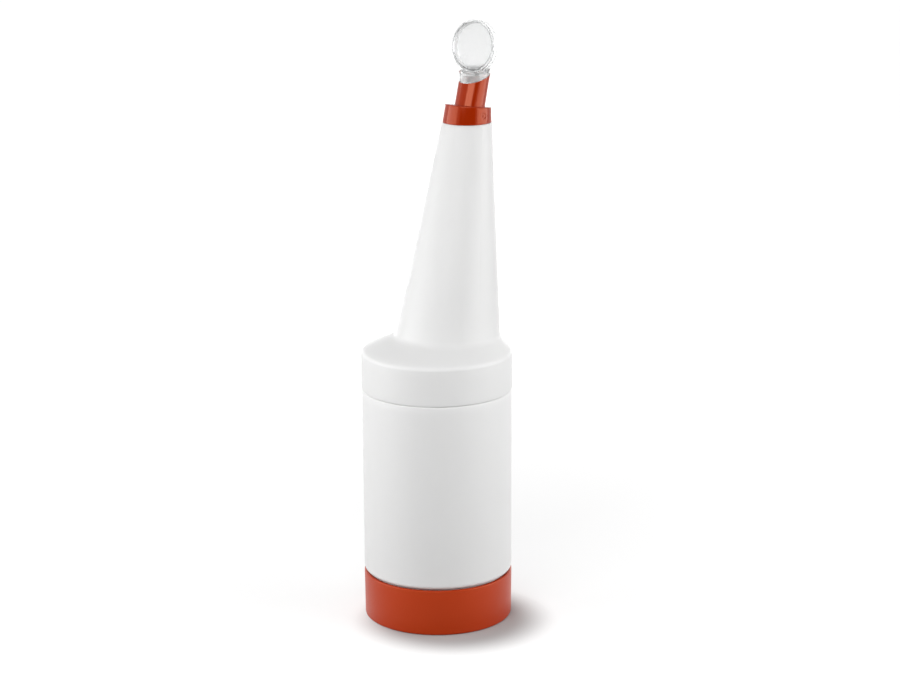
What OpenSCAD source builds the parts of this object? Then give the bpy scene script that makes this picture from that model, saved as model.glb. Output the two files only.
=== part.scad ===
// Pour spout bottle: a wide-mouth jar with a screw-on neck that leans back, a red pourer with a
// clear weighted flap over its mouth, and a storage lid that is kept on the jar's foot.
// The origin is the middle of the base, +Z is up, the mouth faces -Y and the neck leans to +Y.

/* [Jar] */
// Outside diameter of the jar's body
jar_d = 89; // [80:0.5:98]
// Height of the body, from the step over the foot to the ledge under the neck
body_h = 112.6; // [90:0.2:140]
// Thickness of the jar's wall
jar_wall = 1.4; // [1:0.1:1.8]
// How far the foot and the threaded rim step in from the body
jar_step = 3.1; // [2.7:0.1:3.6]
// Height of the foot
foot_h = 26.2; // [20:0.2:32]
// Height of the threaded rim
rim_h = 21.8; // [16:0.2:26]
// Rounding of the body where it turns in over the foot
body_round = 2.9; // [1:0.1:3]
// Rounding of the jar's heel
heel_round = 4; // [2:0.5:6]
// Rise of the hollow in the middle of the jar's base
pushup_h = 3; // [1:0.5:5]

/* [Base cap] */
// Thickness of the cap's floor
cap_floor = 2; // [1.4:0.1:3]
// How much narrower the cap is at its floor than at its rim, on the radius
cap_draft = 0.3; // [0:0.1:0.6]
// Rounding of the cap's bottom edge
cap_round = 1.2; // [0.6:0.1:1.6]
// Open line between the cap's rim and the body over it
cap_line = 0.5; // [0.3:0.1:1.5]

/* [Neck] */
// How far the skirt stands proud of the jar's body, on the radius
skirt_proud = 0.3; // [0:0.1:0.8]
// Thickness of the shoulder over the jar's rim
shoulder_t = 2; // [1.6:0.1:3]
// Rounding of the skirt's upper edge
edge_round = 3; // [1:0.2:3.4]
// Rise of the shoulder from the skirt to the foot of the neck
shoulder_rise = 5.5; // [3:0.1:12]
// Diameter of the neck where it leaves the shoulder
neck_base_d = 62; // [50:0.5:66]
// How far back the neck stands where it leaves the shoulder
neck_base_back = 10.8; // [6:0.1:11.4]
// Height of the neck from the shoulder to the pourer
neck_h = 126.1; // [90:0.1:160]
// Diameter of the neck's top
neck_top_d = 29.8; // [28:0.1:34]
// How far back the neck's top stands
neck_top_back = 30.6; // [20:0.2:32]
// Thickness of the neck's wall
neck_wall = 1.4; // [1:0.1:1.8]
// Length of the curve where the shoulder turns up into the neck, to each side of the corner
neck_fillet = 3; // [1:0.5:6]
// Depth of the seal lip inside the jar's rim
lip_h = 3; // [1.5:0.5:6]
// Thickness of the seal lip
lip_wall = 1.1; // [0.8:0.1:1.4]

/* [Pourer] */
// Diameter of the spigot on the neck's top
spigot_d = 25.2; // [22:0.2:25.6]
// Height of the spigot
spigot_h = 5.2; // [3:0.2:5.6]
// Height of the collar along its axis
collar_h = 9.6; // [9:0.2:14]
// Diameter of the collar's top
collar_top_d = 28; // [26:0.2:29]
// Lean of the collar
collar_lean = 7.7; // [0:0.1:8.5]
// Rounding of the collar's top edge
collar_round = 0.8; // [0.3:0.1:1.4]
// Outside diameter of the tube where it leaves the collar
tube_base_d = 18.4; // [17:0.1:20]
// Outside diameter of the tube at its mouth
tube_top_d = 17.9; // [16.6:0.1:19]
// Diameter of the tube's bore
tube_bore_d = 15; // [12:0.1:15.4]
// Length of the tube's axis, from the foot of the collar to the mouth
tube_len = 27; // [22:0.2:34]
// Lean of the tube
tube_lean = 16.5; // [5:0.5:18]
// Slope of the mouth, down to the front
mouth_slope = 17; // [14:0.5:22]
// Diameter of the round mark on each side of the collar
mark_d = 3.8; // [2:0.2:5]
// Diameter of the pip in the middle of the mark
mark_pip_d = 1.2; // [0.6:0.1:1.6]
// Depth of the mark
mark_depth = 0.4; // [0.2:0.1:0.6]
// Height of the mark over the collar's foot
mark_up = 4.6; // [3:0.1:6.4]
// Angle of the mark round the collar, from the front
mark_turn = 78; // [60:1:100]

/* [Flap] */
// Height of the hood's top over the middle of the mouth
hood_h = 3.5; // [3:0.1:6]
// Slope of the hood's top, down to the front
hood_slope = 5.5; // [0:0.5:8]
// Thickness of the hood's side wall
hood_wall = 1.1; // [0.8:0.1:1.6]
// Thickness of the hood's top
hood_top_t = 1.2; // [0.8:0.1:1.8]
// Diameter of the thumb disc
disc_d = 30.8; // [24:0.2:36]
// Width of the disc's rim
disc_rim = 1.7; // [1.2:0.1:3]
// Depth of the disc's rim, front to back
disc_depth = 4.8; // [3:0.1:6]
// Thickness of the plate inside the rim
disc_plate = 1.2; // [0.8:0.1:2]
// How far the plate lies inside the rim's back edge
disc_recess = 0.4; // [0.1:0.1:0.8]
// Lean of the disc
disc_lean = 8; // [0:0.5:12]
// How far forward of the mouth's middle the disc stands on the hood
disc_forward = 2.2; // [0:0.1:4]
// Width of the disc's foot
disc_foot_w = 15; // [8:0.5:16]
// Height of the disc's foot
disc_foot_h = 2.6; // [1.5:0.1:4]
// Thickness of the disc's foot
disc_foot_t = 2.8; // [1.5:0.1:4]

/* [Hinge] */
// Radius of the hinge lug and of the flap's ears
lug_r = 1.7; // [1.5:0.05:1.8]
// Width of the lug
lug_w = 5; // [4:0.1:6]
// Thickness of each ear
ear_t = 1.5; // [1:0.1:2]
// Diameter of the hinge pins
pin_d = 1.6; // [1.2:0.1:1.8]
// Length of each pin inside the lug
pin_len = 1.4; // [1:0.1:1.8]
// How far the lug stands out behind the tube
lug_proud = 0.1; // [0:0.05:0.3]
// How far the hinge lies under the plane of the mouth
hinge_drop = 0.5; // [0.3:0.1:1]

/* [Clearances] */
// Gap where one piece rests on the next
seat_gap = 0.2; // [0.1:0.05:0.4]
// Room for the screw thread's ridges, on the radius
thread_gap = 0.9; // [0.6:0.1:1.1]
// Gap round the seal lip, on the radius
lip_gap = 0.3; // [0.2:0.05:0.5]
// Gap round the spigot, on the radius
spigot_fit = 0.08; // [0.03:0.01:0.1]
// Gap round the hinge pins, on the radius
pin_fit = 0.06; // [0.03:0.01:0.1]
// Gap between the ears and the tube
ear_gap = 0.2; // [0.15:0.05:0.3]

/* [Hidden] */
$fn = 128;
small_fn = 48;
neck_steps = 80;
ellipse_steps = 72;
curve_steps = 8;
reach = 60;

jar_r = jar_d / 2;
rim_r = jar_r - jar_step;
foot_z = cap_floor + seat_gap;
step_z = foot_z + foot_h;
ledge_z = step_z + body_h;
rim_z = ledge_z + rim_h;
body_r_in = jar_r - jar_wall;
rim_r_in = rim_r - jar_wall;

cap_h = step_z - cap_line;
cap_bore_r = rim_r + thread_gap;

skirt_r = jar_r + skirt_proud;
skirt_bore_r = rim_r + thread_gap;
skirt_z = ledge_z + seat_gap;
seal_z = rim_z + seat_gap;
edge_z = seal_z + shoulder_t;
lip_r = rim_r_in - lip_gap;

neck_z = edge_z + shoulder_rise;
top_z = neck_z + neck_h;
top_flange = 2;
spigot_r = spigot_d / 2;

collar_z = top_z + seat_gap;
pocket_h = spigot_h + seat_gap;
mouth_y = neck_top_back + tube_len * sin(tube_lean);
mouth_z = top_z + tube_len * cos(tube_lean);
mouth_bevel = mouth_slope + tube_lean;
mouth_half_l = tube_top_d / 2 / cos(mouth_bevel) * cos(mouth_slope);

hinge_y = mouth_y + mouth_half_l - lug_r + lug_proud;
hinge_z = mouth_z + (hinge_y - mouth_y) * tan(mouth_slope) - hinge_drop;
ear_x = lug_w / 2 + ear_gap;
hood_back = hinge_y - lug_r - ear_gap;

// Points on an arc, from angle a0 to angle a1
function arc(cx, cy, r, a0, a1, n = curve_steps) =
    [for (i = [0:n]) let (a = a0 + (a1 - a0) * i / n) [cx + r * cos(a), cy + r * sin(a)]];

// Points on an ellipse
function ellipse(a, b, n = ellipse_steps) =
    [for (i = [0:n - 1]) [a * cos(360 * i / n), b * sin(360 * i / n)]];

// The point on the way from a to b, at a distance from a
function along(a, b, distance) = a + (b - a) * distance / norm(b - a);

// Rounds corner b of the route a-b-c with a curve that starts and ends at a distance from it
function bend(a, b, c, distance, n = curve_steps) =
    let (p = along(b, a, distance), q = along(b, c, distance))
    [for (i = [0:n]) let (t = i / n) p * pow(1 - t, 2) + b * 2 * t * (1 - t) + q * pow(t, 2)];

// Closed shell through a loop of level rings, each [set-back, height, radius]
module ring_loop(rings, n = neck_steps) {
    count = len(rings);
    points = [for (g = rings) for (i = [0:n - 1]) let (a = 360 * i / n)
        [g[2] * sin(a), g[0] + g[2] * cos(a), g[1]]];
    faces = [for (k = [0:count - 1]) for (i = [0:n - 1])
        let (j = (i + 1) % n, next = (k + 1) % count)
        [k * n + i, k * n + j, next * n + j, next * n + i]];
    polyhedron(points, faces, convexity = 6);
}

// A flat outline in the symmetry plane, given as [y, z], made w wide and centred on x
module across(outline, w, x = 0) {
    translate([x - w / 2, 0, 0]) rotate([90, 0, 90]) linear_extrude(w) polygon(outline);
}

// Half space over a plane through [y, z] that falls to the front at the given slope
module above(y, z, slope) {
    translate([0, y, z]) rotate([slope, 0, 0]) translate([-reach / 2, -reach / 2, 0]) cube(reach);
}

// Half space under such a plane
module below(y, z, slope) {
    translate([0, y, z]) rotate([slope, 0, 0]) translate([-reach / 2, -reach / 2, -reach]) cube(reach);
}

// Leans a thing back about the middle of the neck's top
module leaned(angle) {
    translate([0, neck_top_back, top_z]) rotate([-angle, 0, 0]) children();
}

// A round bar across the bottle on the hinge's axis
module hinge_bar(length, r, x = 0) {
    translate([x, hinge_y, hinge_z]) rotate([0, 90, 0])
        cylinder(h = length, r = r, center = true, $fn = small_fn);
}

// Red storage lid on the jar's foot
module base_cap() {
    floor_r = jar_r - cap_draft;
    rim_round = 0.7;
    color("#c8472b") rotate_extrude() polygon(concat(
        [[0, 0]],
        arc(floor_r - cap_round, cap_round, cap_round, -90, 0),
        arc(jar_r - rim_round, cap_h - rim_round, rim_round, 0, 90),
        arc(cap_bore_r + rim_round / 2, cap_h - rim_round / 2, rim_round / 2, 90, 180),
        arc(cap_bore_r - cap_draft - cap_round, cap_floor + cap_round, cap_round, 0, -90),
        [[0, cap_floor]]
    ));
}

// White jar with a narrow foot, a hollow base and a threaded rim
module jar() {
    stand_r = rim_r - heel_round;
    dome_r = stand_r - heel_round;
    ring_round = pushup_h / 2;
    top_round = 0.4;
    ledge_round = 1;
    heel_in = heel_round - jar_wall / 2;
    outer = concat(
        [[0, foot_z + pushup_h], [dome_r, foot_z + pushup_h]],
        arc(stand_r - ring_round, foot_z + ring_round, ring_round, 180, 270),
        arc(stand_r, foot_z + heel_round, heel_round, -90, 0),
        [[rim_r, step_z]],
        arc(jar_r - body_round, step_z + body_round, body_round, -90, 0),
        arc(jar_r - ledge_round, ledge_z - ledge_round, ledge_round, 0, 90),
        [[rim_r, ledge_z]],
        arc(rim_r - top_round, rim_z - top_round, top_round, 0, 90)
    );
    inner = concat(
        arc(rim_r_in + top_round, rim_z - top_round, top_round, 90, 180),
        [[rim_r_in, ledge_z - jar_wall]],
        arc(body_r_in - ledge_round, ledge_z - jar_wall - jar_step, ledge_round, 40, 0),
        arc(body_r_in - body_round, step_z + body_round + jar_wall, body_round, 0, -60),
        [[rim_r_in, step_z]],
        arc(stand_r - jar_wall / 2, foot_z + heel_round + jar_wall / 2, heel_in, 0, -80),
        [[dome_r, foot_z + pushup_h + jar_wall], [0, foot_z + pushup_h + jar_wall]]
    );
    color("#f2f2ef") rotate_extrude() polygon(concat(outer, inner));
}

// White screw-on skirt, shoulder and leaning neck with the pourer's spigot
module neck() {
    foot_sink = 0.6;
    foot_inset = 0.2;
    start_r = skirt_r - edge_round - foot_inset;
    start_z = edge_z - foot_sink;
    base_r = neck_base_d / 2;
    top_r = neck_top_d / 2;
    foot_out = [0, start_z, start_r];
    base_out = [neck_base_back, neck_z, base_r];
    top_out = [neck_top_back, top_z, top_r];
    foot_in = [0, start_z, start_r - neck_wall];
    base_in = [neck_base_back, neck_z - neck_wall, base_r - neck_wall];
    top_in = [neck_top_back, top_z, top_r - neck_wall];
    rings_out = concat([foot_out], bend(foot_out, base_out, top_out, neck_fillet), [top_out]);
    rings_in = concat([top_in], bend(top_in, base_in, foot_in, neck_fillet), [foot_in]);
    color("#f2f2ef") union() {
        ring_loop(concat(rings_out, rings_in));
        rotate_extrude() polygon(concat(
            [[skirt_bore_r, skirt_z], [skirt_r, skirt_z]],
            arc(skirt_r - edge_round, edge_z - edge_round, edge_round, 0, 90),
            [
                [lip_r - lip_wall, edge_z],
                [lip_r - lip_wall, seal_z - lip_h],
                [lip_r, seal_z - lip_h],
                [lip_r, seal_z],
                [skirt_bore_r, seal_z]
            ]
        ));
        translate([0, neck_top_back, top_z - top_flange]) difference() {
            union() {
                cylinder(h = top_flange, r = top_r - neck_wall / 2);
                cylinder(h = top_flange + spigot_h, r = spigot_r);
            }
            translate([0, 0, -1]) cylinder(h = top_flange + spigot_h + 2, r = spigot_r - neck_wall);
        }
    }
}

// The round mark that is sunk into one side of the collar
module mark() {
    foot_r = neck_top_d / 2;
    wall_r = foot_r + (collar_top_d / 2 - foot_r) * mark_up / collar_h;
    leaned(collar_lean) rotate([0, 0, mark_turn - 90]) translate([wall_r - mark_depth, 0, mark_up])
        rotate([0, 90, 0]) difference() {
            cylinder(h = mark_depth + 1, r = mark_d / 2, $fn = small_fn);
            translate([0, 0, -1]) cylinder(h = mark_depth + 3, r = mark_pip_d / 2, $fn = small_fn);
        }
}

// Red collar and bevelled tube with the hinge lug
module pourer() {
    foot_r = neck_top_d / 2;
    collar_top_r = collar_top_d / 2;
    tube_base_r = tube_base_d / 2;
    tube_top_r = tube_top_d / 2;
    bore_r = tube_bore_d / 2;
    lead_in = 3;
    color("#c23a22") difference() {
        union() {
            leaned(collar_lean) rotate_extrude() polygon(concat(
                [[0, -lead_in], [foot_r, -lead_in], [foot_r, 0]],
                arc(collar_top_r - collar_round, collar_h - collar_round, collar_round, 0, 90),
                [[0, collar_h]]
            ));
            difference() {
                leaned(tube_lean) union() {
                    cylinder(h = tube_len, r1 = tube_base_r, r2 = tube_top_r);
                    translate([0, 0, tube_len]) cylinder(h = reach / 2, r = tube_top_r);
                }
                above(mouth_y, mouth_z, mouth_slope);
            }
            hinge_bar(lug_w, lug_r);
        }
        translate([-reach / 2, neck_top_back - reach / 2, collar_z - reach]) cube(reach);
        translate([0, neck_top_back, collar_z - 1]) cylinder(h = pocket_h + 1, r = spigot_r + spigot_fit);
        difference() {
            leaned(tube_lean) translate([0, 0, pocket_h / 2]) cylinder(h = reach, r = bore_r);
            hinge_bar(lug_w, lug_r);
        }
        for (side = [-1, 1]) translate([side * (ear_x + ear_t / 2), 0, 0])
            translate([-ear_t / 2 - ear_gap, hood_back - ear_gap, hinge_z - lug_r - ear_gap])
                cube([ear_t + ear_gap * 2, reach, reach]);
        hinge_bar(lug_w + 2, pin_d / 2 + pin_fit);
        mark();
        mirror([1, 0, 0]) mark();
    }
}

// Clear thumb disc, stood on its foot: a round plate near the back of a deeper rim
module thumb_disc() {
    disc_r = disc_d / 2;
    plate_r = disc_r - disc_rim / 2;
    back = -disc_depth / 2;
    foot_sink = 0.3;
    rotate([-disc_lean, 0, 0]) translate([0, 0, disc_r]) rotate([90, 0, 0]) {
        difference() {
            cylinder(h = disc_depth, r = disc_r, center = true);
            cylinder(h = disc_depth * 2, r = disc_r - disc_rim, center = true);
        }
        translate([0, 0, back + disc_recess]) cylinder(h = disc_plate, r = plate_r);
        translate([-disc_foot_w / 2, foot_sink - disc_r, -disc_foot_t / 2])
            cube([disc_foot_w, disc_foot_h, disc_foot_t]);
    }
}

// Clear hood over the mouth with the hinge ears and the thumb disc
module flap() {
    side_r = tube_top_d / 2;
    hood_z = mouth_z + hood_h;
    hollow_z = hood_z - hood_top_t;
    ear_lap = 1;
    lap_z = hood_z + (hood_back - ear_lap - mouth_y) * tan(hood_slope);
    color([0.9, 0.92, 0.93, 0.45]) union() {
        difference() {
            translate([0, mouth_y, mouth_z - reach / 2]) linear_extrude(reach)
                polygon(ellipse(side_r, mouth_half_l));
            difference() {
                translate([0, mouth_y, mouth_z - reach]) linear_extrude(reach * 2)
                    polygon(ellipse(side_r - hood_wall, mouth_half_l - hood_wall));
                above(mouth_y, hollow_z, hood_slope);
            }
            below(mouth_y, mouth_z + seat_gap, mouth_slope);
            above(mouth_y, hood_z, hood_slope);
            translate([-reach / 2, hood_back, 0]) cube([reach, reach, top_z * 2]);
        }
        for (side = [-1, 1]) {
            across(concat(
                arc(hinge_y, hinge_z, lug_r, 80, -110),
                [[hood_back - ear_lap, lap_z - hood_top_t], [hood_back - ear_lap, lap_z]]
            ), ear_t, side * (ear_x + ear_t / 2));
            hinge_bar(pin_len + ear_gap * 2, pin_d / 2, side * (ear_x - pin_len / 2));
        }
        translate([0, mouth_y - disc_forward, hood_z - disc_forward * tan(hood_slope) - hood_top_t / 2])
            thumb_disc();
    }
}

base_cap();
jar();
neck();
pourer();
flap();
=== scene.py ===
# %% [markdown]
# This lesson dresses a pour spout bottle. Five plastic mouldings make it: a red cap that the bottle
# stands on, a white jar, a white leaning neck, a red pourer and a clear flap. The imported model is the
# frame that every piece has to fit, so it is loaded first, and its parts' boxes set some of the sizes.

# %% Load the frame
import math
import bpy
from mathutils import Euler, Matrix, Vector


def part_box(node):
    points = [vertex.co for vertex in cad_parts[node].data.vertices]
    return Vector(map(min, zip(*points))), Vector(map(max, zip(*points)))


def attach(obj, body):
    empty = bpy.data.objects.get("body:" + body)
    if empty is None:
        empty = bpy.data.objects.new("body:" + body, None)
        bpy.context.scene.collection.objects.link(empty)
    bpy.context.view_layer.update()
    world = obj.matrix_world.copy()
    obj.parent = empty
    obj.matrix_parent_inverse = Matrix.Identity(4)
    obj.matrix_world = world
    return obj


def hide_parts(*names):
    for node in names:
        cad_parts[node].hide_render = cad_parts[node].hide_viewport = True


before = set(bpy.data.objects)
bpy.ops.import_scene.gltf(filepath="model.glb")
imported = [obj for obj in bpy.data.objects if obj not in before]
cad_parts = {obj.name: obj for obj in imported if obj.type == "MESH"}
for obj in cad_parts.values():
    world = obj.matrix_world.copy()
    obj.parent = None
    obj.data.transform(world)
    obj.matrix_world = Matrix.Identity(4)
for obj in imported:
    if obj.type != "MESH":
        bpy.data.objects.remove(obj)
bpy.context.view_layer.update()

print("the frame holds", sorted(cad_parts))

# %% [markdown]
# The photograph was taken from the front right, from a little over half a metre up. A long lens at a
# metre and a half keeps the jar's sides nearly upright. The camera is turned in given steps: first down,
# then round the bottle, and last a small roll, since the picture hangs a third of a degree off level.

# %% Camera
VIEW_AZIMUTH = math.radians(38)
CAMERA_DISTANCE = 1.5
CAMERA_HEIGHT = 0.5635
CAMERA_TILT = math.radians(14.654)
CAMERA_PAN = math.radians(0.304)
CAMERA_ROLL = math.radians(-0.302)
CAMERA_LENS = 104.58


def around(azimuth, distance, height):
    """A place round the bottle, with azimuth 0 in front of the mouth."""
    return Vector((distance * math.sin(azimuth), -distance * math.cos(azimuth), height))


bpy.ops.object.camera_add(location=around(VIEW_AZIMUTH, CAMERA_DISTANCE, CAMERA_HEIGHT))
camera = bpy.context.object
aim = Euler((math.radians(90) - CAMERA_TILT, 0, VIEW_AZIMUTH - CAMERA_PAN)).to_matrix()
camera.rotation_euler = (aim @ Matrix.Rotation(CAMERA_ROLL, 3, "Z")).to_euler()
camera.data.lens = CAMERA_LENS
camera.data.sensor_width = 36
bpy.context.scene.camera = camera
bpy.context.scene.view_settings.view_transform = "Standard"
print("camera at", tuple(round(v, 3) for v in camera.location))

# %% [markdown]
# A wide softbox stands on each side, so that the white jar is lightest at its edges and the glossy
# pourer shows upright bands. A big one high over the camera fills the front, so high that no upright
# face mirrors it, and a small weak one under it makes the soft band in the middle of the leaning tube.
# A low one lights the back; the camera and the clear flap look straight through it.

# %% Lamps
LOOK_AT = Vector((0, 0.01, 0.18))


def softbox(name, azimuth, distance, height, size, power):
    """An area lamp that faces the bottle: degrees round from the camera, metres out and metres up."""
    place = around(VIEW_AZIMUTH + math.radians(azimuth), distance, height)
    bpy.ops.object.light_add(type="AREA", location=place)
    lamp = bpy.context.object
    lamp.name = name
    lamp.rotation_euler = (LOOK_AT - place).to_track_quat("-Z", "Y").to_euler()
    lamp.data.shape = "RECTANGLE"
    lamp.data.size, lamp.data.size_y = size
    lamp.data.energy = power
    return lamp


softbox("left_softbox", -82, 0.9, 0.36, (1.0, 0.55), 5.3)
softbox("right_softbox", 78, 0.9, 0.36, (1.0, 0.55), 6.2)
softbox("high_softbox", -15, 1.0, 0.95, (1.0, 0.4), 8.2)
softbox("band_softbox", -22, 0.85, 0.67, (0.25, 0.2), 0.3)
back_softbox = softbox("back_softbox", 180, 1.3, 0.12, (1.6, 0.3), 4.0)
back_softbox.visible_camera = False
back_softbox.visible_transmission = False
print("five softboxes")

# %% [markdown]
# The room is white where the camera, a reflection or the clear flap looks at it, and a plain grey
# where it only lights the bottle. A Light Path node tells the two apart. A black curtain behind the
# camera darkens what the front of the bottle reflects, as in a real studio; the camera doesn't see it.

# %% World and floor
ROOM_LIGHT = 0.31
FLOOR_SIZE = 12
FLOOR_GREY = (0.42, 0.42, 0.42, 1)
FLOOR_LIFT = 0.62
FLOOR_LIFT_FAR = 0.25
FAR_INNER = 0.1
FAR_OUTER = 0.9
# Painted shadow: the floor's lift is left off round this spot, a little towards the camera and right of the
# bottle's middle.
PAINTED_SHADOW_CENTRE = around(VIEW_AZIMUTH + math.radians(30), 0.019, 0)
PAINTED_SHADOW_INNER = 0.034
PAINTED_SHADOW_OUTER = 0.065
CURTAIN_PLACE = around(VIEW_AZIMUTH, 2.2, 1.0)
CURTAIN_SIZE = (3.4, 2.1, 1)
CURTAIN_BLACK = (0.02, 0.02, 0.02, 1)


def seen_directly(nodes, links):
    """1 for camera, glossy and transmission rays, and 0 for the rays that carry light."""
    path = nodes.new("ShaderNodeLightPath")
    first = nodes.new("ShaderNodeMath")
    first.operation = "MAXIMUM"
    links.new(path.outputs["Is Camera Ray"], first.inputs[0])
    links.new(path.outputs["Is Glossy Ray"], first.inputs[1])
    both = nodes.new("ShaderNodeMath")
    both.operation = "MAXIMUM"
    links.new(first.outputs[0], both.inputs[0])
    links.new(path.outputs["Is Transmission Ray"], both.inputs[1])
    return both.outputs[0]


def make_world():
    """White to look at, grey as a lamp."""
    world = bpy.data.worlds.new("white_room")
    world.use_nodes = True
    nodes, links = world.node_tree.nodes, world.node_tree.links
    strength = nodes.new("ShaderNodeMapRange")
    strength.inputs["To Min"].default_value = ROOM_LIGHT
    strength.inputs["To Max"].default_value = 1.0
    links.new(seen_directly(nodes, links), strength.inputs["Value"])
    shade = nodes["Background"]
    shade.inputs["Color"].default_value = (1, 1, 1, 1)
    links.new(strength.outputs["Result"], shade.inputs["Strength"])
    bpy.context.scene.world = world


def fade(nodes, links, distance, near, far, value):
    """A smooth rise from 0 to a value between two distances."""
    rise = nodes.new("ShaderNodeMapRange")
    rise.interpolation_type = "SMOOTHSTEP"
    rise.inputs["From Min"].default_value = near
    rise.inputs["From Max"].default_value = far
    rise.inputs["To Max"].default_value = value
    links.new(distance, rise.inputs["Value"])
    return rise.outputs["Result"]


def make_floor():
    """A grey sheet lifted to the room's white, except in a painted shadow round the bottle's foot."""
    bpy.ops.object.select_all(action="DESELECT")
    bpy.ops.mesh.primitive_plane_add(size=FLOOR_SIZE, location=(0, 0, 0))
    floor = bpy.context.object
    floor.name = "floor"
    paper = bpy.data.materials.new("white_paper")
    paper.use_nodes = True
    nodes, links = paper.node_tree.nodes, paper.node_tree.links
    shade = nodes["Principled BSDF"]
    shade.inputs["Base Color"].default_value = FLOOR_GREY
    shade.inputs["Roughness"].default_value = 0.9
    shade.inputs["Specular IOR Level"].default_value = 0.1
    shade.inputs["Emission Color"].default_value = (1, 1, 1, 1)
    spot = nodes.new("ShaderNodeTexCoord")
    away = nodes.new("ShaderNodeVectorMath")
    away.operation = "DISTANCE"
    links.new(spot.outputs["Object"], away.inputs[0])
    away.inputs[1].default_value = PAINTED_SHADOW_CENTRE
    # The painted shadow: no lift near the spot, rising to the full lift further out; the real shade that the
    # lamps cast shows inside it.
    near = fade(nodes, links, away.outputs["Value"], PAINTED_SHADOW_INNER, PAINTED_SHADOW_OUTER, FLOOR_LIFT)
    far = fade(nodes, links, away.outputs["Value"], FAR_INNER, FAR_OUTER, FLOOR_LIFT_FAR)
    both = nodes.new("ShaderNodeMath")
    both.operation = "ADD"
    links.new(near, both.inputs[0])
    links.new(far, both.inputs[1])
    lift = nodes.new("ShaderNodeMath")
    lift.operation = "MULTIPLY"
    links.new(both.outputs[0], lift.inputs[1])
    links.new(seen_directly(nodes, links), lift.inputs[0])
    links.new(lift.outputs[0], shade.inputs["Emission Strength"])
    floor.data.materials.append(paper)


def make_curtain():
    """A black cloth behind the camera, hidden from the camera itself."""
    bpy.ops.object.select_all(action="DESELECT")
    upright = (math.radians(90), 0, VIEW_AZIMUTH)
    bpy.ops.mesh.primitive_plane_add(size=1, location=CURTAIN_PLACE, rotation=upright)
    curtain = bpy.context.object
    curtain.name = "black_curtain"
    curtain.scale = CURTAIN_SIZE
    cloth = bpy.data.materials.new("black_cloth")
    cloth.use_nodes = True
    surface = cloth.node_tree.nodes["Principled BSDF"]
    surface.inputs["Base Color"].default_value = CURTAIN_BLACK
    surface.inputs["Roughness"].default_value = 1
    curtain.data.materials.append(cloth)
    curtain.visible_camera = False


make_world()
make_floor()
make_curtain()
print("floor, white room and curtain")

# %% [markdown]
# Moulded plastic is never one flat colour. One node group makes what all five mouldings share: a faint
# mottle in the colour, a roughness that changes where hands have been, and a fine grain for the bump.
# It reads object coordinates, so that the pattern stays on the piece.

# %% Moulded plastic group


def moulded_plastic_group():
    """A group that puts out colour, roughness and grain height for a moulded surface."""
    group = bpy.data.node_groups.new("moulded_plastic", "ShaderNodeTree")
    face = group.interface
    face.new_socket("Color", in_out="INPUT", socket_type="NodeSocketColor")
    face.new_socket("Shade Color", in_out="INPUT", socket_type="NodeSocketColor")
    for name, value in (("Roughness", 0.4), ("Rub", 0.1), ("Grain Scale", 900.0), ("Mottle Scale", 30.0)):
        face.new_socket(name, in_out="INPUT", socket_type="NodeSocketFloat").default_value = value
    face.new_socket("Color", in_out="OUTPUT", socket_type="NodeSocketColor")
    face.new_socket("Roughness", in_out="OUTPUT", socket_type="NodeSocketFloat")
    face.new_socket("Height", in_out="OUTPUT", socket_type="NodeSocketFloat")
    nodes, links = group.nodes, group.links
    given = nodes.new("NodeGroupInput")
    made = nodes.new("NodeGroupOutput")
    place = nodes.new("ShaderNodeTexCoord")
    mottle = nodes.new("ShaderNodeTexNoise")
    mottle.inputs["Detail"].default_value = 4
    links.new(place.outputs["Object"], mottle.inputs["Vector"])
    links.new(given.outputs["Mottle Scale"], mottle.inputs["Scale"])
    tint = nodes.new("ShaderNodeMix")
    tint.data_type = "RGBA"
    links.new(mottle.outputs["Fac"], tint.inputs[0])
    links.new(given.outputs["Color"], tint.inputs[6])
    links.new(given.outputs["Shade Color"], tint.inputs[7])
    links.new(tint.outputs[2], made.inputs["Color"])
    rub = nodes.new("ShaderNodeMath")
    rub.operation = "MULTIPLY_ADD"
    links.new(mottle.outputs["Fac"], rub.inputs[0])
    links.new(given.outputs["Rub"], rub.inputs[1])
    links.new(given.outputs["Roughness"], rub.inputs[2])
    links.new(rub.outputs[0], made.inputs["Roughness"])
    grain = nodes.new("ShaderNodeTexNoise")
    grain.inputs["Detail"].default_value = 2
    links.new(place.outputs["Object"], grain.inputs["Vector"])
    links.new(given.outputs["Grain Scale"], grain.inputs["Scale"])
    links.new(grain.outputs["Fac"], made.inputs["Height"])
    return group


PLASTIC = moulded_plastic_group()
print("group", PLASTIC.name)

# %% [markdown]
# Each finish places the group with its own values. The white is a milky polyethylene with a little
# light under its skin, the cap a satin red and the pourer a glossy red. The flap is clear, with a
# frosted plate in the thumb disc, a painted dark band on the rim's edges for the shade that they give
# by bending light away, and insides that are cloudy from the tool that moulded them.

# %% Finishes


def finish(name, colour, shade, roughness, rub, grain_scale, mottle_scale, bump):
    """A moulded plastic with its own colour, gloss and grain."""
    material = bpy.data.materials.new(name)
    material.use_nodes = True
    nodes, links = material.node_tree.nodes, material.node_tree.links
    skin = nodes.new("ShaderNodeGroup")
    skin.node_tree = PLASTIC
    skin.inputs["Color"].default_value = (*colour, 1)
    skin.inputs["Shade Color"].default_value = (*shade, 1)
    skin.inputs["Roughness"].default_value = roughness
    skin.inputs["Rub"].default_value = rub
    skin.inputs["Grain Scale"].default_value = grain_scale
    skin.inputs["Mottle Scale"].default_value = mottle_scale
    relief = nodes.new("ShaderNodeBump")
    relief.inputs["Strength"].default_value = bump
    relief.inputs["Distance"].default_value = 0.0002
    links.new(skin.outputs["Height"], relief.inputs["Height"])
    surface = nodes["Principled BSDF"]
    links.new(skin.outputs["Color"], surface.inputs["Base Color"])
    links.new(skin.outputs["Roughness"], surface.inputs["Roughness"])
    links.new(relief.outputs["Normal"], surface.inputs["Normal"])
    return material, surface


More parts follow.
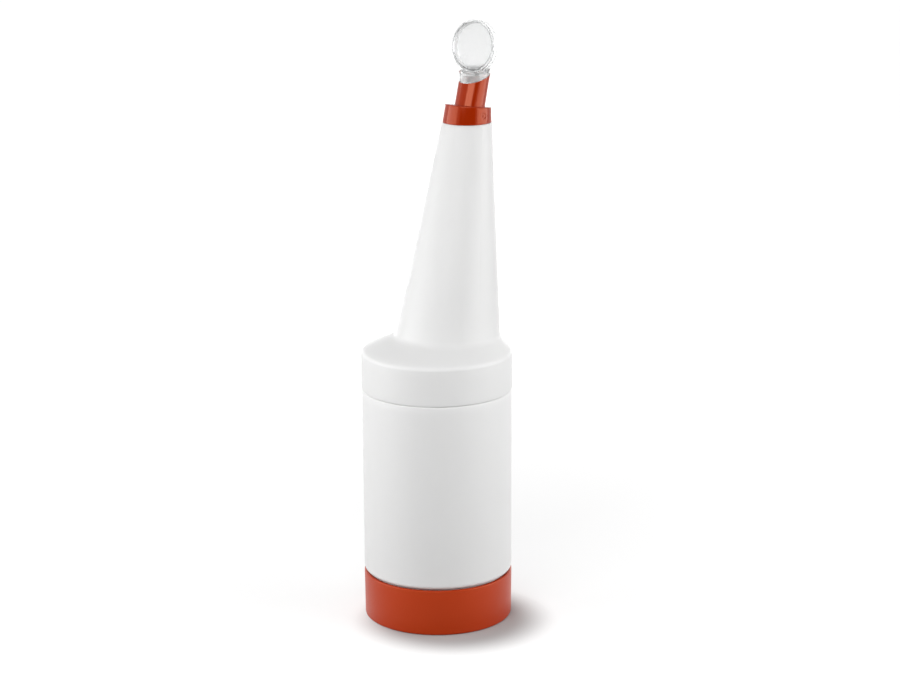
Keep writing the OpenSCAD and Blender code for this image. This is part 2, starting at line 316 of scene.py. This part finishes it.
def make_milky(surface):
    """Lets light spread about a centimetre under the skin, with no tint."""
    surface.inputs["Subsurface Weight"].default_value = 0.4
    surface.inputs["Subsurface Radius"].default_value = (1, 1, 1)
    surface.inputs["Subsurface Scale"].default_value = 0.008
    surface.inputs["Specular IOR Level"].default_value = 0.25


def make_warm_gloss(surface, level):
    """Tints the mirror bands of a red moulding, which are orange and not white."""
    surface.inputs["Specular IOR Level"].default_value = level
    surface.inputs["Specular Tint"].default_value = (1.0, 0.42, 0.26, 1)


white_jar, milk = finish(
    "white_jar_plastic", (0.88, 0.88, 0.876), (0.86, 0.86, 0.856),
    roughness=0.34, rub=0.12, grain_scale=1400, mottle_scale=14, bump=0.12,
)
make_milky(milk)
# The neck is the jar's white plastic made darker: painted shade, taking back the extra light that its
# up-facing cone gets.
white_neck_with_painted_shade, milk = finish(
    "white_neck_plastic", (0.82, 0.82, 0.816), (0.79, 0.79, 0.786),
    roughness=0.36, rub=0.12, grain_scale=1400, mottle_scale=18, bump=0.1,
)
make_milky(milk)
red_cap, satin = finish(
    "red_cap_plastic", (0.42, 0.032, 0.002), (0.39, 0.029, 0.002),
    roughness=0.34, rub=0.1, grain_scale=2200, mottle_scale=40, bump=0.25,
)
make_warm_gloss(satin, 0.7)
red_pourer, gloss = finish(
    "red_pourer_plastic", (0.32, 0.02, 0.001), (0.3, 0.018, 0.001),
    roughness=0.12, rub=0.06, grain_scale=900, mottle_scale=60, bump=0.05,
)
make_warm_gloss(gloss, 0.55)


def clear(name, tint, roughness, rub, bump, clearness=1.0):
    """A clear moulded plastic that light goes through, or a cloudy one with less clearness."""
    material, surface = finish(name, tint, tint, roughness, rub, grain_scale=700, mottle_scale=50, bump=bump)
    surface.inputs["Transmission Weight"].default_value = clearness
    surface.inputs["IOR"].default_value = 1.5
    return material


clear_flap = clear("clear_flap_plastic", (0.93, 0.935, 0.935), 0.02, 0.03, 0.05)
frosted_plate = clear("frosted_plate_plastic", (0.67, 0.675, 0.675), 0.3, 0.1, 0.4)
# A dark tint for the band on the disc rim's edges: painted shade, for light that the edges bend away.
painted_dark_edge = clear("shaded_edge_plastic", (0.4, 0.41, 0.41), 0.05, 0.03, 0.05)
cloudy_hollow = clear("cloudy_hollow_plastic", (0.9, 0.905, 0.905), 0.2, 0.1, 0.3, clearness=0.5)
print("eight finishes")

# %% [markdown]
# Most of this bottle is round. A maker can draw a circle and then walk it along: extrude the edge,
# move it, resize it, and so on from ring to ring. The neck leans, so each ring has its own set-back.
# A helper does the walking, and its rings are written in millimetres as on a drawing.

# %% Walking a circle
MM = 0.001
SEGMENTS = 128
WELD = 0.01


def arc(centre_r, centre_z, radius, start, end, steps=8, back=0):
    """Rings on a round corner, from one angle to the other."""
    angles = [math.radians(start + (end - start) * i / steps) for i in range(steps + 1)]
    return [(back, centre_z + radius * math.sin(a), centre_r + radius * math.cos(a)) for a in angles]


def select_only(piece):
    """Leaves one piece selected and active."""
    bpy.ops.object.select_all(action="DESELECT")
    piece.select_set(True)
    bpy.context.view_layer.objects.active = piece


def walk(name, rings, loop=False, segments=SEGMENTS):
    """A closed round shape through rings of (set-back, height, radius)."""
    back, height, radius = rings[0]
    bpy.ops.object.select_all(action="DESELECT")
    bpy.ops.mesh.primitive_circle_add(
        vertices=segments, radius=radius * MM, fill_type="NOTHING", location=(0, back * MM, height * MM)
    )
    piece = bpy.context.object
    piece.name = name
    bpy.ops.object.transform_apply(location=True, rotation=False, scale=False)
    bpy.ops.object.mode_set(mode="EDIT")
    bpy.ops.mesh.select_all(action="SELECT")
    for next_back, next_height, next_radius in rings[1:]:
        step = (0, (next_back - back) * MM, (next_height - height) * MM)
        bpy.ops.mesh.extrude_edges_move(TRANSFORM_OT_translate={"value": step})
        grow = next_radius / radius
        middle = (0, next_back * MM, next_height * MM)
        bpy.ops.transform.resize(value=(grow, grow, 1), center_override=middle)
        back, height, radius = next_back, next_height, next_radius
    bpy.ops.mesh.select_all(action="SELECT")
    if loop:
        bpy.ops.mesh.remove_doubles(threshold=WELD * MM)
    else:
        bpy.ops.mesh.fill_holes(sides=0)
    bpy.ops.mesh.select_all(action="SELECT")
    bpy.ops.mesh.normals_make_consistent(inside=False)
    bpy.ops.object.mode_set(mode="OBJECT")
    return piece


def place(piece, lean=0, back=0, height=0):
    """Leans a piece back and sets it on its spot, with its place in its mesh."""
    select_only(piece)
    piece.rotation_euler = (math.radians(-lean), 0, 0)
    piece.location = (0, back * MM, height * MM)
    bpy.ops.object.transform_apply(location=True, rotation=True, scale=True)
    return piece


def carve(piece, tool, operation="DIFFERENCE"):
    """Cuts a tool out of a piece, or joins it on, and throws the tool away."""
    select_only(piece)
    cut = piece.modifiers.new("carve", "BOOLEAN")
    cut.operation = operation
    cut.object = tool
    cut.solver = "EXACT"
    bpy.ops.object.modifier_apply(modifier=cut.name)
    bpy.data.objects.remove(tool)
    return piece


def round_edges(piece, width, angle=30, segments=3):
    """Rounds the sharp edges of a moulding."""
    select_only(piece)
    bevel = piece.modifiers.new("round", "BEVEL")
    bevel.width = width * MM
    bevel.segments = segments
    bevel.limit_method = "ANGLE"
    bevel.angle_limit = math.radians(angle)
    bpy.ops.object.modifier_apply(modifier=bevel.name)
    return piece


def dress(piece, body, material, angle=35):
    """Smooths a piece, gives it its finish and hangs it on its body."""
    select_only(piece)
    bpy.ops.object.shade_smooth_by_angle(angle=math.radians(angle))
    piece.data.materials.append(material)
    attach(piece, body)
    print(piece.name, len(piece.data.polygons), "faces")
    return piece


# %% [markdown]
# A screw thread is a small ridge that climbs round a wall. A flattened hexagon is set in the wall's
# face, a little of it sunk in, and turned about the bottle's axis with a Screw modifier, which lifts
# it by the pitch at every turn.

# %% Thread helper
THREAD_PITCH = 5.0
RIDGE_WIDTH = 2.0
RIDGE_SUNK = 0.15
HEXAGON_REACH = 0.9
STEPS_A_TURN = 72


def thread(name, wall_r, height, ridge, turns):
    """A ridge round a wall: outwards with a positive ridge, inwards with a negative one."""
    root = wall_r - RIDGE_SUNK * math.copysign(1, ridge)
    half = RIDGE_WIDTH / 2
    bpy.ops.object.select_all(action="DESELECT")
    bpy.ops.mesh.primitive_circle_add(vertices=6, radius=half * MM, fill_type="NOTHING", location=(0, 0, 0))
    piece = bpy.context.object
    piece.name = name
    piece.rotation_euler = (math.radians(90), 0, 0)
    bpy.ops.object.transform_apply(rotation=True)
    piece.scale = ((abs(ridge) + RIDGE_SUNK) / half / HEXAGON_REACH, 1, 1)
    piece.location = (root * MM, 0, height * MM)
    bpy.ops.object.transform_apply(location=True, scale=True)
    screw = piece.modifiers.new("screw", "SCREW")
    screw.axis = "Z"
    screw.angle = math.radians(360 * turns)
    screw.screw_offset = THREAD_PITCH * turns * MM
    screw.steps = screw.render_steps = int(STEPS_A_TURN * turns)
    bpy.ops.object.modifier_apply(modifier=screw.name)
    bpy.ops.object.mode_set(mode="EDIT")
    bpy.ops.mesh.select_all(action="SELECT")
    bpy.ops.mesh.fill_holes(sides=0)
    bpy.ops.mesh.select_all(action="SELECT")
    bpy.ops.mesh.normals_make_consistent(inside=False)
    bpy.ops.object.mode_set(mode="OBJECT")
    return piece


# %% [markdown]
# The jar is blown from one tube of white plastic. Its foot is narrower than its body, so that the cap
# fits flush under it, and its rim is as narrow, so that the same cap also screws on top. The rings
# start in the hollow of the base, go up the outside, turn over the rim and come down the inside.

# %% Jar
JAR_R = (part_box("jar")[1].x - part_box("jar")[0].x) / 2 / MM
JAR_WALL = 1.4
JAR_STEP = 3.1
FOOT_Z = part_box("jar")[0].z / MM
STEP_Z = FOOT_Z + 26.2
RIM_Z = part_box("jar")[1].z / MM
LEDGE_Z = RIM_Z - 21.8
RIM_R = JAR_R - JAR_STEP
HEEL = 4.0
PUSHUP = 3.0
BODY_ROUND = 2.9
LEDGE_ROUND = 1.0
RIM_ROUND = 0.4
MIDDLE_R = 6
THREAD_RIDGE = 0.4
THREAD_TURNS = 2.5
JAR_THREAD_UP = 5


def make_jar():
    """The jar's wall, closed by a small flat face in the middle of its base, above and below."""
    stand_r = RIM_R - HEEL
    dome_r = stand_r - HEEL
    rim_in = RIM_R - JAR_WALL
    body_in = JAR_R - JAR_WALL
    rings = [(0, FOOT_Z + PUSHUP, MIDDLE_R), (0, FOOT_Z + PUSHUP, dome_r)]
    rings += arc(stand_r - PUSHUP / 2, FOOT_Z + PUSHUP / 2, PUSHUP / 2, 180, 270)
    rings += arc(stand_r, FOOT_Z + HEEL, HEEL, -90, 0)
    rings += [(0, STEP_Z, RIM_R)]
    rings += arc(JAR_R - BODY_ROUND, STEP_Z + BODY_ROUND, BODY_ROUND, -90, 0)
    rings += arc(JAR_R - LEDGE_ROUND, LEDGE_Z - LEDGE_ROUND, LEDGE_ROUND, 0, 90)
    rings += [(0, LEDGE_Z, RIM_R)]
    rings += arc(RIM_R - RIM_ROUND, RIM_Z - RIM_ROUND, RIM_ROUND, 0, 90, 4)
    rings += arc(rim_in + RIM_ROUND, RIM_Z - RIM_ROUND, RIM_ROUND, 90, 180, 4)
    rings += [(0, LEDGE_Z - JAR_WALL, rim_in)]
    rings += arc(body_in - LEDGE_ROUND, LEDGE_Z - JAR_WALL - JAR_STEP, LEDGE_ROUND, 40, 0, 4)
    rings += arc(body_in - BODY_ROUND, STEP_Z + BODY_ROUND + JAR_WALL, BODY_ROUND, 0, -60)
    rings += [(0, STEP_Z, rim_in)]
    rings += arc(stand_r - JAR_WALL / 2, FOOT_Z + HEEL + JAR_WALL / 2, HEEL - JAR_WALL / 2, 0, -80)
    rings += [(0, FOOT_Z + PUSHUP + JAR_WALL, dome_r), (0, FOOT_Z + PUSHUP + JAR_WALL, MIDDLE_R)]
    return walk("jar_shell", rings)


jar = dress(make_jar(), "jar", white_jar)
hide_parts("jar")
jar_thread = thread("jar_thread", RIM_R, LEDGE_Z + JAR_THREAD_UP, THREAD_RIDGE, THREAD_TURNS)
dress(jar_thread, "jar", white_jar, angle=60)

# %% [markdown]
# The cap is a plain cup with a draft so slight that it hardly shows. It has the same thread inside.

# %% Base cap
CAP_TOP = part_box("base_cap")[1].z / MM
CAP_FLOOR = 2.0
CAP_DRAFT = 0.3
CAP_ROUND = 1.2
CAP_RIM_OUTER = 0.7
CAP_RIM_INNER = 0.35
CAP_THREAD_Z = 14
CAP_THREAD_TURNS = 1.5
DRAFT_AT_THREAD = 0.1
THREAD_GAP = 0.9
BORE_R = RIM_R + THREAD_GAP


def make_cap():
    """A cup with a rounded foot and rim, from the middle of its underside to the middle of its floor."""
    floor_r = JAR_R - CAP_DRAFT
    rings = [(0, 0, MIDDLE_R)]
    rings += arc(floor_r - CAP_ROUND, CAP_ROUND, CAP_ROUND, -90, 0)
    rings += arc(JAR_R - CAP_RIM_OUTER, CAP_TOP - CAP_RIM_OUTER, CAP_RIM_OUTER, 0, 90, 5)
    rings += arc(BORE_R + CAP_RIM_INNER, CAP_TOP - CAP_RIM_INNER, CAP_RIM_INNER, 90, 180, 4)
    rings += arc(BORE_R - CAP_DRAFT - CAP_ROUND, CAP_FLOOR + CAP_ROUND, CAP_ROUND, 0, -90)
    rings += [(0, CAP_FLOOR, MIDDLE_R)]
    return walk("base_cap_shell", rings)


base_cap = dress(make_cap(), "base_cap", red_cap)
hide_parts("base_cap")
cap_thread_r = BORE_R - DRAFT_AT_THREAD
cap_thread = thread("base_cap_thread", cap_thread_r, CAP_THREAD_Z, -THREAD_RIDGE, CAP_THREAD_TURNS)
dress(cap_thread, "base_cap", red_cap, angle=60)

# %% [markdown]
# The neck is the form that gives the bottle its look. Its rings shrink and step back at once, which
# makes a cone that leans until its back is nearly upright. Where the shoulder turns up into the cone,
# the corner is a smooth curve through the rings, worked out by blending set-back, height and radius.

# %% Neck
PIECE_GAP = 0.2
SKIRT_R = JAR_R + 0.3
SKIRT_Z = LEDGE_Z + PIECE_GAP
SEAL_Z = RIM_Z + PIECE_GAP
EDGE_Z = SEAL_Z + 2.0
EDGE_ROUND = 3.0
EDGE_TURN = 66
NECK_WALL = 1.4
NECK_BASE = Vector((10.8, EDGE_Z + 5.5, 31.0))
NECK_TOP = NECK_BASE + Vector((19.8, 126.1, -16.1))
NECK_FILLET = 3.0
ROOF_DROP = 0.6
CHAMFER = 0.3
SPIGOT_R = 12.6
SPIGOT_H = 5.2
SPIGOT_ROUND = 0.4
SPIGOT_ROOT = 2
LIP_H = 3
LIP_OUT = RIM_R - JAR_WALL - 0.3
LIP_IN = LIP_OUT - 1.1
NECK_THREAD_UP = 3


def bend(a, b, c, distance, steps=12):
    """Rings that round off corner b of the route a-b-c, from a distance before it to one after it."""
    p, q = b + (a - b).normalized() * distance, b + (c - b).normalized() * distance
    ts = [i / steps for i in range(steps + 1)]
    return [tuple(p * (1 - t) ** 2 + b * 2 * t * (1 - t) + q * t * t) for t in ts]


def make_neck():
    """Up the skirt, shoulder, cone and spigot, and down inside them to the sealing lip and the bore."""
    edge = arc(SKIRT_R - EDGE_ROUND, EDGE_Z - EDGE_ROUND, EDGE_ROUND, 0, EDGE_TURN)
    back, top_z, top_r = NECK_TOP
    foot_out = Vector(edge[-1])
    base_in = NECK_BASE - Vector((0, NECK_WALL, NECK_WALL))
    top_in = Vector((back, top_z - SPIGOT_ROOT, top_r - NECK_WALL))
    foot_in = Vector((0, EDGE_Z - ROOF_DROP, LIP_IN))
    spigot_in = SPIGOT_R - NECK_WALL
    spigot_top = top_z + SPIGOT_H
    rings = [(0, SKIRT_Z + CHAMFER, SKIRT_R)] + edge
    rings += bend(foot_out, NECK_BASE, NECK_TOP, NECK_FILLET)
    rings += [(back, top_z - CHAMFER, top_r), (back, top_z, top_r - CHAMFER), (back, top_z, SPIGOT_R)]
    rings += arc(SPIGOT_R - SPIGOT_ROUND, spigot_top - SPIGOT_ROUND, SPIGOT_ROUND, 0, 90, 4, back=back)
    rings += [(back, spigot_top, spigot_in), (back, top_z - SPIGOT_ROOT, spigot_in)]
    rings += [tuple(top_in)] + bend(top_in, base_in, foot_in, NECK_FILLET)
    rings += [tuple(foot_in), (0, SEAL_Z, LIP_IN), (0, SEAL_Z - LIP_H, LIP_IN)]
    rings += [(0, SEAL_Z - LIP_H, LIP_OUT), (0, SEAL_Z, LIP_OUT), (0, SEAL_Z, BORE_R)]
    rings += [(0, SKIRT_Z, BORE_R), (0, SKIRT_Z, SKIRT_R - CHAMFER), (0, SKIRT_Z + CHAMFER, SKIRT_R)]
    return walk("neck_shell", rings, loop=True)


neck = dress(make_neck(), "neck", white_neck_with_painted_shade)
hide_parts("neck")
neck_thread = thread("neck_thread", BORE_R, SKIRT_Z + NECK_THREAD_UP, -THREAD_RIDGE, THREAD_TURNS)
dress(neck_thread, "neck", white_neck_with_painted_shade, angle=60)

# %% [markdown]
# The pourer starts as two plain turned shapes, a short wide collar and a slim tube that leans back
# further. They are joined, the bore and the socket for the spigot are cut, the mouth is sliced off
# at a slant, and a small lug is left at the back for the flap's hinge.

# %% Pourer
TOP_BACK, TOP_Z, COLLAR_FOOT_R = NECK_TOP
COLLAR_LEAN = 7.7
COLLAR_H = 9.6
COLLAR_TOP_R = 14.0
COLLAR_ROUND = 0.8
COLLAR_SUNK = 3
TUBE_LEAN = 16.5
TUBE_LENGTH = 27.0
TUBE_UNCUT = 40
TUBE_FOOT_R = 9.2
CORE_R = 4
MOUTH_SLOPE = 17
MOUTH_R = 8.95
BORE = 7.5
BORE_FROM = 2
BORE_TO = 50
SOCKET_R = SPIGOT_R + 0.08
SOCKET_DEPTH = 5.6
MOUTH_BACK = TOP_BACK + TUBE_LENGTH * math.sin(math.radians(TUBE_LEAN))
MOUTH_Z = TOP_Z + TUBE_LENGTH * math.cos(math.radians(TUBE_LEAN))
MOUTH_HALF = MOUTH_R / math.cos(math.radians(MOUTH_SLOPE + TUBE_LEAN)) * math.cos(math.radians(MOUTH_SLOPE))
LUG_R = 1.7
LUG_W = 5.0
LUG_PROUD = 0.1
HINGE_DROP = 0.5
HINGE_BACK = MOUTH_BACK + MOUTH_HALF - LUG_R + LUG_PROUD
HINGE_Z = MOUTH_Z + (HINGE_BACK - MOUTH_BACK) * math.tan(math.radians(MOUTH_SLOPE)) - HINGE_DROP
PIN_R = 0.8
PIN_HOLE_R = 0.86
EAR_T = 1.5
EAR_GAP = 0.2
EAR_X = LUG_W / 2 + EAR_GAP
HOOD_BACK = HINGE_BACK - LUG_R - EAR_GAP
COLLAR_Z = TOP_Z + PIECE_GAP
MARK_R = 1.9
MARK_PIP_R = 0.6
MARK_DEPTH = 0.4
MARK_UP = 4.6
MARK_TURN = 78
POURER_EDGE = 0.25
PAST_SIDE = 30
PAST_BACK = 60
PAST_END = 20
CUT_PAST = 1


def rod(name, radius, length, x=0, segments=48):
    """A round bar across the bottle, at the hinge."""
    bpy.ops.object.select_all(action="DESELECT")
    bpy.ops.mesh.primitive_cylinder_add(
        vertices=segments, radius=radius * MM, depth=length * MM,
        location=(x * MM, HINGE_BACK * MM, HINGE_Z * MM), rotation=(0, math.radians(90), 0),
    )
    bpy.context.object.name = name
    bpy.ops.object.transform_apply(location=True, rotation=True)
    return bpy.context.object


def block(name, low, high):
    """A box between two corners."""
    centre = (Vector(low) + Vector(high)) / 2 * MM
    size = (Vector(high) - Vector(low)) * MM
    bpy.ops.object.select_all(action="DESELECT")
    bpy.ops.mesh.primitive_cube_add(size=1, location=centre)
    bpy.context.object.name = name
    bpy.context.object.scale = size
    bpy.ops.object.transform_apply(location=True, scale=True)
    return bpy.context.object


def slice_off(piece, point, normal):
    """Cuts away the side that the normal points to, and closes the cut."""
    select_only(piece)
    bpy.ops.object.mode_set(mode="EDIT")
    bpy.ops.mesh.select_all(action="SELECT")
    bpy.ops.mesh.bisect(plane_co=Vector(point) * MM, plane_no=normal, use_fill=True, clear_outer=True)
    bpy.ops.object.mode_set(mode="OBJECT")
    return piece


def slant(degrees):
    """The upward normal of a plane that falls to the front."""
    angle = math.radians(degrees)
    return Vector((0, -math.sin(angle), math.cos(angle)))


def make_mark(side):
    """The cutter for the round mark on one side of the collar, with the pip left standing."""
    wall_r = COLLAR_FOOT_R + (COLLAR_TOP_R - COLLAR_FOOT_R) * MARK_UP / COLLAR_H
    bpy.ops.object.select_all(action="DESELECT")
    bpy.ops.mesh.primitive_circle_add(vertices=40, radius=MARK_R * MM, fill_type="NGON", location=(0, 0, 0))
    cutter = bpy.context.object
    bpy.ops.object.mode_set(mode="EDIT")
    bpy.ops.mesh.select_all(action="SELECT")
    bpy.ops.mesh.inset(thickness=(MARK_R - MARK_PIP_R) * MM)
    bpy.ops.mesh.delete(type="FACE")
    bpy.ops.mesh.select_all(action="SELECT")
    bpy.ops.mesh.extrude_region_move(TRANSFORM_OT_translate={"value": (0, 0, (MARK_DEPTH + CUT_PAST) * MM)})
    bpy.ops.mesh.select_all(action="SELECT")
    bpy.ops.mesh.normals_make_consistent(inside=False)
    bpy.ops.object.mode_set(mode="OBJECT")
    cutter.rotation_euler = (0, math.radians(90), 0)
    cutter.location = ((wall_r - MARK_DEPTH) * MM, 0, MARK_UP * MM)
    bpy.ops.object.transform_apply(location=True, rotation=True)
    cutter.rotation_euler = (0, 0, math.radians(-90 + side * MARK_TURN))
    bpy.ops.object.transform_apply(rotation=True)
    return place(cutter, COLLAR_LEAN, TOP_BACK, TOP_Z)


def make_pourer():
    """The collar and the tube, joined, bored, sliced and notched for the flap."""
    collar = [(0, -COLLAR_SUNK, CORE_R), (0, -COLLAR_SUNK, COLLAR_FOOT_R), (0, 0, COLLAR_FOOT_R)]
    collar += arc(COLLAR_TOP_R - COLLAR_ROUND, COLLAR_H - COLLAR_ROUND, COLLAR_ROUND, 0, 90, 6)
    collar += [(0, COLLAR_H, CORE_R)]
    piece = place(walk("pourer_body", collar), COLLAR_LEAN, TOP_BACK, TOP_Z)
    rings = [(0, 0, CORE_R), (0, 0, TUBE_FOOT_R), (0, TUBE_LENGTH, MOUTH_R)]
    rings += [(0, TUBE_UNCUT, MOUTH_R), (0, TUBE_UNCUT, CORE_R)]
    tube = place(walk("tube", rings), TUBE_LEAN, TOP_BACK, TOP_Z)
    slice_off(tube, (0, MOUTH_BACK, MOUTH_Z), slant(MOUTH_SLOPE))
    carve(piece, tube, "UNION")
    bore = walk("bore", [(0, BORE_FROM, BORE), (0, BORE_TO, BORE)])
    carve(piece, place(bore, TUBE_LEAN, TOP_BACK, TOP_Z))
    carve(piece, rod("lug", LUG_R, LUG_W), "UNION")
    carve(piece, block("under", (-PAST_SIDE, 0, COLLAR_Z - PAST_END), (PAST_SIDE, PAST_BACK, COLLAR_Z)))
    socket = walk("socket", [(0, -5, SOCKET_R), (0, SOCKET_DEPTH, SOCKET_R)])
    carve(piece, place(socket, 0, TOP_BACK, TOP_Z))
    for side in (-1, 1):
        inner, outer = side * (EAR_X - EAR_GAP), side * (EAR_X + EAR_T + EAR_GAP)
        low = (min(inner, outer), HOOD_BACK - EAR_GAP, HINGE_Z - LUG_R - EAR_GAP)
        high = (max(inner, outer), PAST_BACK, HINGE_Z + PAST_END)
        carve(piece, block("notch", low, high))
    carve(piece, rod("pin_hole", PIN_HOLE_R, LUG_W + 2 * CUT_PAST))
    for side in (-1, 1):
        carve(piece, make_mark(side))
    return piece


pourer = make_pourer()
round_edges(pourer, POURER_EDGE)
dress(pourer, "pourer", red_pourer)
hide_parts("pourer")

# %% [markdown]
# The flap is one clear moulding: a wedge-shaped hood, two ears with their pins, and the thumb disc.
# The hood is a stretched cylinder sliced by three planes and hollowed with a smaller one.

# %% Flap
HOOD_H = 3.5
HOOD_SLOPE = 5.5
HOOD_WALL = 1.1
HOOD_TOP_T = 1.2
HOOD_GAP = 0.2
HOOD_UNCUT = 40
HOLLOW_FROM = -5
ARM_OVERLAP = 1
ARM_STEP = 0.02
PIN_LENGTH = 1.6
PIN_INSET = 0.6
FLAP_EDGE = 0.18
DISC_R = 15.4
DISC_RIM = 1.7
DISC_DEPTH = 4.8
DISC_PLATE = 1.2
DISC_RECESS = 0.4
DISC_LEAN = 8
DISC_AHEAD = 2.2
DISC_BACK = MOUTH_BACK - DISC_AHEAD
DISC_Z = MOUTH_Z + HOOD_H - DISC_AHEAD * math.tan(math.radians(HOOD_SLOPE)) - HOOD_TOP_T / 2
DISC_CENTRE = Vector((0, DISC_BACK + DISC_R * math.sin(math.radians(DISC_LEAN)),
                      DISC_Z + DISC_R * math.cos(math.radians(DISC_LEAN))))
FOOT_HALF_W = 7.5
FOOT_HALF_T = 1.4
FOOT_FROM = 0.3
FOOT_TO = 2.9
PLATE_FINISH = 1
PAINTED_EDGE_FINISH = 2
CLOUDY_FINISH = 3
BAND_INNER = 0.15
BAND_OUTER = 0.9
BAND_DEPTH = 0.65


def wedge(name, shrink, top, bottom_gap):
    """The space between the mouth and a top plane, a little smaller by shrink."""
    bpy.ops.object.select_all(action="DESELECT")
    bpy.ops.mesh.primitive_cylinder_add(
        vertices=96, radius=1, depth=HOOD_UNCUT * MM, location=(0, MOUTH_BACK * MM, MOUTH_Z * MM)
    )
    piece = bpy.context.object
    piece.name = name
    piece.scale = ((MOUTH_R - shrink) * MM, (MOUTH_HALF - shrink) * MM, 1)
    bpy.ops.object.transform_apply(location=True, scale=True)
    slice_off(piece, (0, MOUTH_BACK, MOUTH_Z + top), slant(HOOD_SLOPE))
    slice_off(piece, (0, MOUTH_BACK, MOUTH_Z + bottom_gap), -slant(MOUTH_SLOPE))
    return piece


def make_ear(side):
    """An arm from the hood down to the hinge, with its stub pin."""
    x = side * (EAR_X + EAR_T / 2)
    ear = rod("ear", LUG_R, EAR_T, x)
    rear_z = MOUTH_Z + HOOD_H + (HOOD_BACK - MOUTH_BACK) * math.tan(math.radians(HOOD_SLOPE))
    low = (x - EAR_T / 2, HOOD_BACK - ARM_OVERLAP, rear_z - HOOD_TOP_T)
    high = (x + EAR_T / 2, HINGE_BACK, HINGE_Z + LUG_R - ARM_STEP)
    carve(ear, block("arm", low, high), "UNION")
    carve(ear, rod("pin", PIN_R, PIN_LENGTH, side * (EAR_X - PIN_INSET)), "UNION")
    return ear


def make_disc():
    """The thumb disc, turned flat with its back down, and then stood up on its foot."""
    half = DISC_DEPTH / 2
    low = DISC_RECESS - half
    high = low + DISC_PLATE
    inner = DISC_R - DISC_RIM
    rings = [(0, low, 3), (0, low, inner - 0.3), (0, low - 0.1, inner)]
    rings += arc(inner + 0.3, -half + 0.3, 0.3, 180, 270, 4)
    rings += arc(DISC_R - 0.6, -half + 0.6, 0.6, -90, 0, 5)
    rings += arc(DISC_R - 0.6, half - 0.6, 0.6, 0, 90, 5)
    rings += arc(inner + 0.5, half - 0.5, 0.5, 90, 180, 5)
    rings += [(0, high + 0.4, inner), (0, high, inner - 0.4), (0, high, 3)]
    disc = walk("disc", rings, segments=112)
    foot_low = (-FOOT_HALF_W, FOOT_FROM - DISC_R, -FOOT_HALF_T)
    foot_high = (FOOT_HALF_W, FOOT_TO - DISC_R, FOOT_HALF_T)
    carve(disc, block("foot", foot_low, foot_high), "UNION")
    disc.rotation_euler = (math.radians(90 - DISC_LEAN), 0, 0)
    disc.location = DISC_CENTRE * MM
    select_only(disc)
    bpy.ops.object.transform_apply(location=True, rotation=True)
    return disc


def make_flap():
    """The hollow hood with its ears and its disc, all one solid."""
    hood = wedge("flap_moulding", 0, HOOD_H, HOOD_GAP)
    slice_off(hood, (0, HOOD_BACK, MOUTH_Z), (0, 1, 0))
    carve(hood, wedge("hollow", HOOD_WALL, HOOD_H - HOOD_TOP_T, HOLLOW_FROM))
    for side in (-1, 1):
        carve(hood, make_ear(side), "UNION")
    carve(hood, make_disc(), "UNION")
    return hood


def finish_faces(flap):
    """Finishes the plate, the rim's inner wall and the hood's hollow, and paints shade on the rim's inner
    edges.
    """
    for extra in (frosted_plate, painted_dark_edge, cloudy_hollow):
        flap.data.materials.append(extra)
    lean = math.radians(DISC_LEAN)
    axis = Vector((0, math.cos(lean), -math.sin(lean)))
    inner = DISC_R - DISC_RIM
    half = DISC_DEPTH / 2
    for face in flap.data.polygons:
        middle = face.center / MM
        off = middle - DISC_CENTRE
        depth = abs(off.dot(axis))
        across = (off - axis * off.dot(axis)).length
        inwards = Vector((middle.x, middle.y - MOUTH_BACK, 0)).normalized().dot(face.normal) < -0.5
        roof = face.normal.z < -0.9 and middle.z > MOUTH_Z + 1
        in_hood = middle.z < MOUTH_Z + HOOD_H and middle.y < HOOD_BACK - 0.5
        if across < inner and abs(face.normal.dot(axis)) > 0.9 and depth < half:
            face.material_index = PLATE_FINISH
        # The rim's inner edges and the front faces near them get the dark band of painted shade.
        elif inner - BAND_INNER < across < inner + BAND_OUTER and depth > half - BAND_DEPTH:
            face.material_index = PAINTED_EDGE_FINISH
        elif across < inner + 0.1 and depth < half:
            face.material_index = CLOUDY_FINISH
        elif in_hood and (inwards or roof):
            face.material_index = CLOUDY_FINISH
    counts = [sum(face.material_index == i for face in flap.data.polygons) for i in range(4)]
    print(counts, "faces a finish")


flap = make_flap()
round_edges(flap, FLAP_EDGE)
dress(flap, "flap", clear_flap)
finish_faces(flap)
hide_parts("flap")
